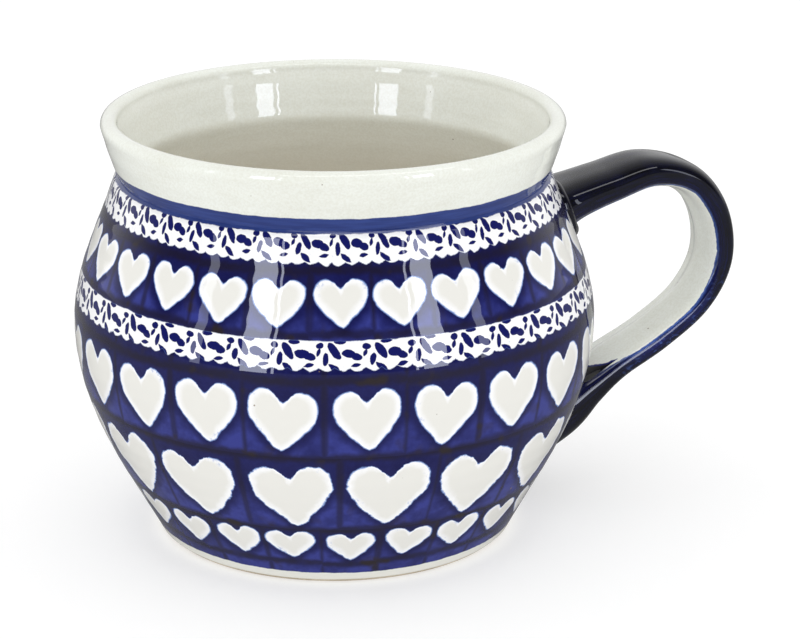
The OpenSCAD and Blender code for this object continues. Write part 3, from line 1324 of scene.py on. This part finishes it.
    def foot(self) -> None:
        """Builds the cream band above the foot ring."""
        d = self.drawing
        outer = d.outside(d.bare_z, d.foot_line_z, 0.25)
        outer[0, 0] -= 0.12
        inner = d.outside(d.bare_z, d.foot_line_z, 0.5, d.glaze_t)
        shape = self.shell(outer, inner, float(d.arc(d.bare_z)))
        shape.piece("cream_foot_coat", CreamGlaze("cream_glaze", Slot.CREAM), ["foot_glaze"])

    def base(self) -> None:
        """Builds the clear coat inside the foot ring, with a soft rolled edge."""
        d = self.drawing
        low, high = d.recess_t - d.glaze_t, d.recess_t
        outline = np.array(
            [
                [0.0, low],
                [10.0, low],
                [20.0, low],
                [self.base_r - 0.6, low],
                [self.base_r - 0.25, low + 0.05],
                [self.base_r - 0.05, low + 0.15],
                [self.base_r, high],
                [14.0, high],
                [0.0, high],
            ]
        )
        shape = self.wheel.turned(outline, closed=False)
        shape.piece("clear_base_coat", CreamGlaze("cream_glaze", Slot.CREAM), ["base_glaze"])


@dataclass
class Strap:
    """The pulled strap handle: cobalt coat, cream inner face and two rolls of slip."""

    drawing: PotDrawing = field(default_factory=PotDrawing)
    reach: float = 85.6
    top_z: float = 67.4
    width: float = 13
    root_width: float = 16.5
    top_t: float = 6.2
    low_t: float = 5
    root_swell: float = 3.4
    low_flare: float = 8.6
    low_flare_from: float = 0.72
    low_sag: float = 0.18
    squareness: float = 2.9
    loop_in: float = 42
    loop_low: float = 9.8
    cream_from: float = 222
    cream_to: float = 318
    upper_roll_r: float = 1.6
    lower_roll_r: float = 2.6
    fillet: float = 2.6
    fillet_reach: float = 2.4
    buried: float = 2.3
    loop: tuple[tuple[float, float], ...] = (
        (-0.05, 0.87), (0.145, 0.917), (0.385, 0.965), (0.615, 1.0), (0.835, 0.95), (0.97, 0.81),
        (0.995, 0.635), (0.885, 0.48), (0.67, 0.36), (0.44, 0.27), (0.28, 0.195), (0.12, 0.12),
        (-0.145, 0.06),
    )

    def __post_init__(self) -> None:
        """Places the knots of the centre-line."""
        loop_w = self.reach - self.low_t / 2 - self.loop_in
        loop_h = self.top_z - self.top_t / 2 - self.loop_low
        knots = [(self.loop_in + loop_w * u, self.loop_low + loop_h * v) for u, v in self.loop]
        inner = np.array(knots)
        self.knots = np.vstack([2 * inner[0] - inner[1], inner, 2 * inner[-1] - inner[-2]])
        self.last = len(knots) - 1

    def centre(self, t: float) -> np.ndarray:
        """Returns the centre-line's radius and height, t from 0 at the upper root to 1.

        Args:
            t: where along the centre-line.

        Returns:
            Radius and height.
        """
        index = min(int(t * self.last), self.last - 1)
        s = t * self.last - index
        a, b, c, d = self.knots[index : index + 4]
        return (
            2 * b + (c - a) * s + (2 * a - 5 * b + 4 * c - d) * s * s + (3 * b - a - 3 * c + d) * s**3
        ) / 2

    def outward(self, t: float) -> np.ndarray:
        """Returns the direction that faces away from the loop.

        Args:
            t: where along the centre-line.

        Returns:
            Radius and height of a unit vector.
        """
        step = self.centre(t + 0.001) - self.centre(t - 0.001)
        step = step / np.hypot(*step)
        return np.array([-step[1], step[0]])

    def size_at(self, t: float) -> tuple[float, float]:
        """Returns the strap's width and thickness, smeared out where it meets the pot.

        Args:
            t: where along the centre-line.

        Returns:
            Width and thickness in mm.
        """
        ends = abs(2 * t - 1)
        width = mix(self.width, self.root_width, ends**2.2)
        radius, z = self.centre(t)
        gap = max(-1.0, radius - float(self.drawing.wall(z)))
        smear = self.fillet * math.exp(-((gap + 1) / self.fillet_reach))
        thick = mix(self.top_t, self.low_t, t) + self.root_swell * ends**4 + self.flare(t)
        return width + smear, thick + smear

    def flare(self, t: float) -> float:
        """Returns how much thicker the strap grows towards the lower root."""
        share = max(0.0, (t - self.low_flare_from) / (1 - self.low_flare_from))
        return self.low_flare * max(0.0, share**2 - share**6)

    def section(self, angles: np.ndarray, width: float, thick: float) -> np.ndarray:
        """Returns the rounded section at some angles in degrees, as rows of side and rise.

        Args:
            angles: 90 faces away from the pot, 270 faces it.
            width: full width.
            thick: full thickness.

        Returns:
            Rows of side and rise.
        """
        turn = np.radians(angles)
        power = 2 / self.squareness
        side = np.sign(np.cos(turn)) * np.abs(np.cos(turn)) ** power * width / 2
        rise = np.sign(np.sin(turn)) * np.abs(np.sin(turn)) ** power * thick / 2
        ridge = np.exp(-((side - 0.8) ** 2) / 3.0) * 0.4 - np.exp(-((side - 3.4) ** 2) / 2.0) * 0.2
        return np.stack([side, rise - np.where(rise < 0, ridge, 0)], 1)

    def placed(self, section: np.ndarray, t: float, deepest: float = 99) -> np.ndarray:
        """Places a section round the centre-line.

        Args:
            section: rows of side and rise.
            t: where along the centre-line.
            deepest: how far inside the pot's wall a point may lie before it is held back.

        Returns:
            Points in space.
        """
        out = self.outward(t)
        centre = self.centre(t) + out * self.low_sag * self.flare(t)
        radius, z = centre[0] + out[0] * section[:, 1], centre[1] + out[1] * section[:, 1]
        points = np.stack([radius, section[:, 0], z], 1)
        reach = np.hypot(points[:, 0], points[:, 1])
        points[:, :2] *= (np.maximum(reach, self.drawing.wall(z) - deepest) / reach)[:, None]
        return points

    def ends(self) -> tuple[float, float]:
        """Returns where the strap has sunk into the pot's wall all round.

        Returns:
            The two places along the centre-line.
        """
        angles = np.arange(0, 360, 10.0)
        inside = []
        for t in np.linspace(0, 1, 401):
            ring = self.placed(self.section(angles, *self.size_at(t)), t)
            gap = np.hypot(ring[:, 0], ring[:, 1]) - self.drawing.wall(ring[:, 2])
            if gap.max() < -0.6:
                inside.append(float(t))
        return max(t for t in inside if t < 0.5), min(t for t in inside if t > 0.5)

    def loft(self, rings: Sequence[np.ndarray], along: Sequence[float], share: np.ndarray) -> Shape:
        """Joins rings of points into a closed solid.

        Args:
            rings: rings with the same number of points.
            along: wrap-map length of each ring in mm.
            share: wrap-map share of each point of a ring.

        Returns:
            The solid, with its wrap map.
        """
        count = len(rings[0])
        faces: list[tuple[int, ...]] = []
        wrap: list[tuple[float, float]] = []
        for i in range(len(rings) - 1):
            u, w = along[i] / WRAP_MM, along[i + 1] / WRAP_MM
            for j in range(count):
                k = (j + 1) % count
                faces.append((i * count + j, i * count + k, (i + 1) * count + k, (i + 1) * count + j))
                wrap += [(u, share[j]), (u, share[k]), (w, share[k]), (w, share[j])]
        last = (len(rings) - 1) * count
        faces.append(tuple(range(count - 1, -1, -1)))
        faces.append(tuple(range(last, last + count)))
        wrap += [(along[0] / WRAP_MM, share[j]) for j in range(count - 1, -1, -1)]
        wrap += [(along[-1] / WRAP_MM, share[j]) for j in range(count)]
        return Shape(np.concatenate(rings), faces, {WRAP: wrap})

    def coat(self, start: float, stop: float, steps: int) -> Shape:
        """Lofts the glaze between two angles of the section.

        Args:
            start: first angle in degrees.
            stop: last angle.
            steps: points between them.

        Returns:
            The coat, closed along the clay.
        """
        first, last = self.ends()
        angles = np.linspace(start, stop, steps + 1)
        share = np.linspace(0, 1, steps + 1)
        rings, lengths, total = [], [], 0.0
        stations = np.linspace(first, last, 181)
        for index, t in enumerate(stations):
            width, thick = self.size_at(t)
            outer = self.section(angles, width, thick)
            skin = 2 * self.drawing.glaze_t
            inner = self.section(angles[::-1], width - skin, thick - skin)
            outer = self.placed(outer, t, self.buried)
            inner = self.placed(inner, t, self.buried + self.drawing.glaze_t)
            rings.append(np.concatenate([outer, inner]))
            if index:
                total += float(np.hypot(*(self.centre(t) - self.centre(stations[index - 1]))))
            lengths.append(total)
        return self.loft(rings, lengths, np.concatenate([share, share[::-1]]))

    def core(self) -> Shape:
        """Lofts the clay inside the coats.

        Returns:
            The core, its ends inside the pot's wall.
        """
        angles = np.arange(0, 360, 4.0)
        skin = 2 * self.drawing.glaze_t
        rings, lengths = [], []
        for index, t in enumerate(np.linspace(*self.ends(), 121)):
            width, thick = self.size_at(t)
            ring = self.section(angles, width - skin, thick - skin)
            rings.append(self.placed(ring, t, self.buried + self.drawing.glaze_t))
            lengths.append(float(index))
        return self.loft(rings, lengths, angles / 360)

    def seam(self, upper: bool) -> np.ndarray:
        """Finds where the strap's surface runs into the pot.

        Args:
            upper: True for the upper root.

        Returns:
            A closed row of points on the pot's wall, one for each 3 degrees of the section.
        """
        angles = np.arange(0, 360, 3.0)
        stations = np.linspace(0.01, 0.3, 200) if upper else np.linspace(1.0, 0.7, 200)
        rows = []
        for t in stations:
            rows.append(self.placed(self.section(angles, *self.size_at(t)), t))
        grid = np.array(rows)
        gap = np.hypot(grid[..., 0], grid[..., 1]) - self.drawing.wall(grid[..., 2])
        line = []
        for column in range(len(angles)):
            first = int(np.argmax(gap[:, column] > 0))
            before, after = gap[first - 1, column], gap[first, column]
            share = -before / (after - before)
            line.append(mix(grid[first - 1, column], grid[first, column], share))
        return np.array(line)

    def roll(self, upper: bool) -> Shape:
        """Bends a roll of slip along the seam of one root.

        Args:
            upper: True for the upper root.

        Returns:
            The roll, closed on itself.
        """
        line = self.seam(upper)
        count, around = len(line), 20
        for _ in range(3):
            line = (np.roll(line, 1, 0) + 2 * line + np.roll(line, -1, 0)) / 4
        tangent = np.roll(line, -1, 0) - np.roll(line, 1, 0)
        tangent /= np.linalg.norm(tangent, axis=1)[:, None]
        outward = line * np.array([1.0, 1.0, 0.0])
        outward /= np.linalg.norm(outward, axis=1)[:, None]
        across = np.cross(tangent, outward)
        across /= np.linalg.norm(across, axis=1)[:, None]
        outward = np.cross(across, tangent)
        place = np.arange(count) * 2 * math.pi / count
        radius = self.upper_roll_r if upper else self.lower_roll_r
        radius = radius * (1 + 0.08 * np.sin(3 * place + 1) + 0.05 * np.sin(7 * place))
        points, wrap, faces = [], [], []
        for j in range(around):
            turn = 2 * math.pi * j / around
            points.append(line + radius[:, None] * (outward * math.cos(turn) + across * math.sin(turn)))
        for j in range(around):
            k = (j + 1) % around
            for i in range(count):
                n = (i + 1) % count
                faces.append((j * count + i, k * count + i, k * count + n, j * count + n))
                u, w = i / count, (i + 1) / count
                v, x = j / around, (j + 1) / around
                wrap += [(u, v), (u, x), (w, x), (w, v)]
        return Shape(np.concatenate(points), faces, {WRAP: wrap})

    def build(self) -> None:
        """Builds every piece of the strap."""
        cobalt = CobaltGlaze("brushed_cobalt_glaze", Slot.COBALT)
        slip = CobaltGlaze("cobalt_over_slip", Slot.SLIP, edges=False)
        outside = self.coat(self.cream_to, self.cream_from + 360, 72)
        outside.piece("cobalt_strap_coat", cobalt, ["handle_cobalt_glaze"])
        inside = self.coat(self.cream_from, self.cream_to, 40)
        length = max(u for u, _ in inside.maps[WRAP]) * WRAP_MM
        cream = StrapCreamGlaze("cream_strap_glaze", Slot.CREAM, end=length)
        inside.piece("cream_strap_coat", cream, ["handle_inner_glaze"])
        self.core().piece("clay_strap_core", BareClay("bare_clay", Slot.STONEWARE), ["handle"])
        self.roll(True).piece("upper_slip_roll", slip, ["upper_slip_joint"])
        self.roll(False).piece("lower_slip_roll", slip, ["lower_slip_joint"])


# ---------------------------------------------------------------- studio


@dataclass(frozen=True)
class Pane:
    """One tall light beside the mug. Azimuth is seen from the camera's side, degrees to the right."""

    name: str
    azimuth: float
    width: float
    strength: float
    low: float = 0.03
    high: float = 0.36
    distance: float = 0.6


@dataclass
class Studio:
    """Floor, lights and camera."""

    heading: float = 23.0
    pitch: float = 18.37
    roll: float = 0.135
    eye: tuple[float, float, float] = (12.74, -547.6, 222.6)
    lens: float = 133.22
    panes: tuple[Pane, ...] = (
        Pane("left_pane", -32, 0.12, 7.5),
        Pane("left_strip", -58, 0.05, 3.0),
        Pane("left_slit", -24, 0.012, 8.0),
        Pane("right_pane", 43, 0.11, 7.5),
        Pane("right_slit", 35, 0.012, 8.0),
        Pane("right_strip", 66, 0.05, 3.0),
    )

    def build(self) -> None:
        """Builds the studio."""
        self.floor()
        self.world()
        for pane in self.panes:
            self.window(pane)
        self.ceiling()
        self.camera()
        bpy.context.scene.view_settings.view_transform = "Standard"

    def floor(self) -> None:
        """Lays a wide pale floor."""
        mesh = bpy.data.meshes.new("floor")
        mesh.from_pydata([(-6, -6, 0), (6, -6, 0), (6, 6, 0), (-6, 6, 0)], [], [(0, 1, 2, 3)])
        mesh.materials.append(FloorPaint("floor_paint", Slot.CREAM).material())
        made = bpy.data.objects.new("floor", mesh)
        bpy.context.scene.collection.objects.link(made)

    def world(self) -> None:
        """Lights the room evenly, darker in reflections towards the viewer's side."""
        world = bpy.data.worlds.new("studio")
        bpy.context.scene.world = world
        world.use_nodes = True
        graph = Graph(world.node_tree)
        direction = graph.node("TexCoord").outputs["Generated"]
        x, y, z = graph.split(direction)
        turn = math.radians(self.heading)
        behind = x * math.sin(turn) + y * math.cos(turn)
        shine = behind.ramp(-0.1, 0.75, 0.025, 0.75) * z.ramp(0.25, 0.8, 1, 0.45)
        glossy = Value(graph, graph.node("LightPath").outputs["Is Glossy Ray"])
        strength = glossy * shine + (1 - glossy) * 1.1
        back = graph.node("Background", {}, {"Color": (1.0, 1.0, 1.0), "Strength": strength})
        graph.node("OutputWorld", {}, {"Surface": back.outputs[0]})

    def spot(self, azimuth: float, distance: float, z: float) -> Vector:
        """Returns a place round the mug, azimuth in degrees to the right of the camera's side."""
        turn = math.radians(azimuth - 90 - self.heading)
        return Vector((distance * math.cos(turn), distance * math.sin(turn), z))

    def window(self, pane: Pane) -> None:
        """Stands one pane of light on the floor, facing the mug.

        Args:
            pane: the pane.
        """
        place = self.spot(pane.azimuth, pane.distance, (pane.low + pane.high) / 2)
        size = (pane.width, pane.high - pane.low)
        away = Vector((place.x, place.y, 0))
        self.lamp(pane.name, place, away, size, pane.strength, (0.82, 0.86, 1.0))

    def ceiling(self) -> None:
        """Hangs a narrow light overhead."""
        place = self.spot(25, 0.30, 0.75)
        self.lamp("ceiling_strip", place, place, (0.9, 0.14), 3.0, (1.0, 1.0, 1.0))

    def lamp(
        self,
        name: str,
        place: Vector,
        away: Vector,
        size: tuple[float, float],
        strength: float,
        colour: Colour,
    ) -> None:
        """Adds a rectangle of light that is seen only in the glaze.

        Args:
            name: name of the light.
            place: its middle.
            away: direction that its back faces.
            size: its two sides in metres.
            strength: its brightness.
            colour: its colour.
        """
        light = bpy.data.lights.new(name, "AREA")
        light.shape = "RECTANGLE"
        light.size, light.size_y = size
        light.color = colour
        light.energy = strength * light.size * light.size_y * math.pi
        made = bpy.data.objects.new(name, light)
        made.location = place
        made.rotation_euler = away.to_track_quat("Z", "Y").to_euler()
        made.visible_camera = False
        made.visible_diffuse = False
        bpy.context.scene.collection.objects.link(made)

    def camera(self) -> None:
        """Places the camera."""
        turn = Matrix.Rotation(math.radians(-self.heading), 3, "Z")
        pitch, roll = math.radians(self.pitch), math.radians(self.roll)
        ahead = Vector((0, math.cos(pitch), -math.sin(pitch)))
        upward = Vector((0, math.sin(pitch), math.cos(pitch)))
        right = Vector((1, 0, 0))
        tilted_right = right * math.cos(roll) + upward * math.sin(roll)
        tilted_up = upward * math.cos(roll) - right * math.sin(roll)
        axes = Matrix((turn @ tilted_right, turn @ tilted_up, turn @ (-ahead))).transposed()
        data = bpy.data.cameras.new("camera")
        data.lens, data.sensor_width = self.lens, 36
        data.clip_start, data.clip_end = 0.01, 50
        made = bpy.data.objects.new("camera", data)
        made.matrix_world = Matrix.Translation(turn @ Vector(self.eye) * MM) @ axes.to_4x4()
        bpy.context.scene.collection.objects.link(made)
        bpy.context.scene.camera = made


def main() -> None:
    """Builds the mug round its frame and sets up the studio."""
    logging.basicConfig(level=logging.INFO, format="%(name)s: %(message)s")
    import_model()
    Pot().build()
    Strap().build()
    Studio().build()
    log.info("boxes written")


if __name__ == "__main__":
    main()
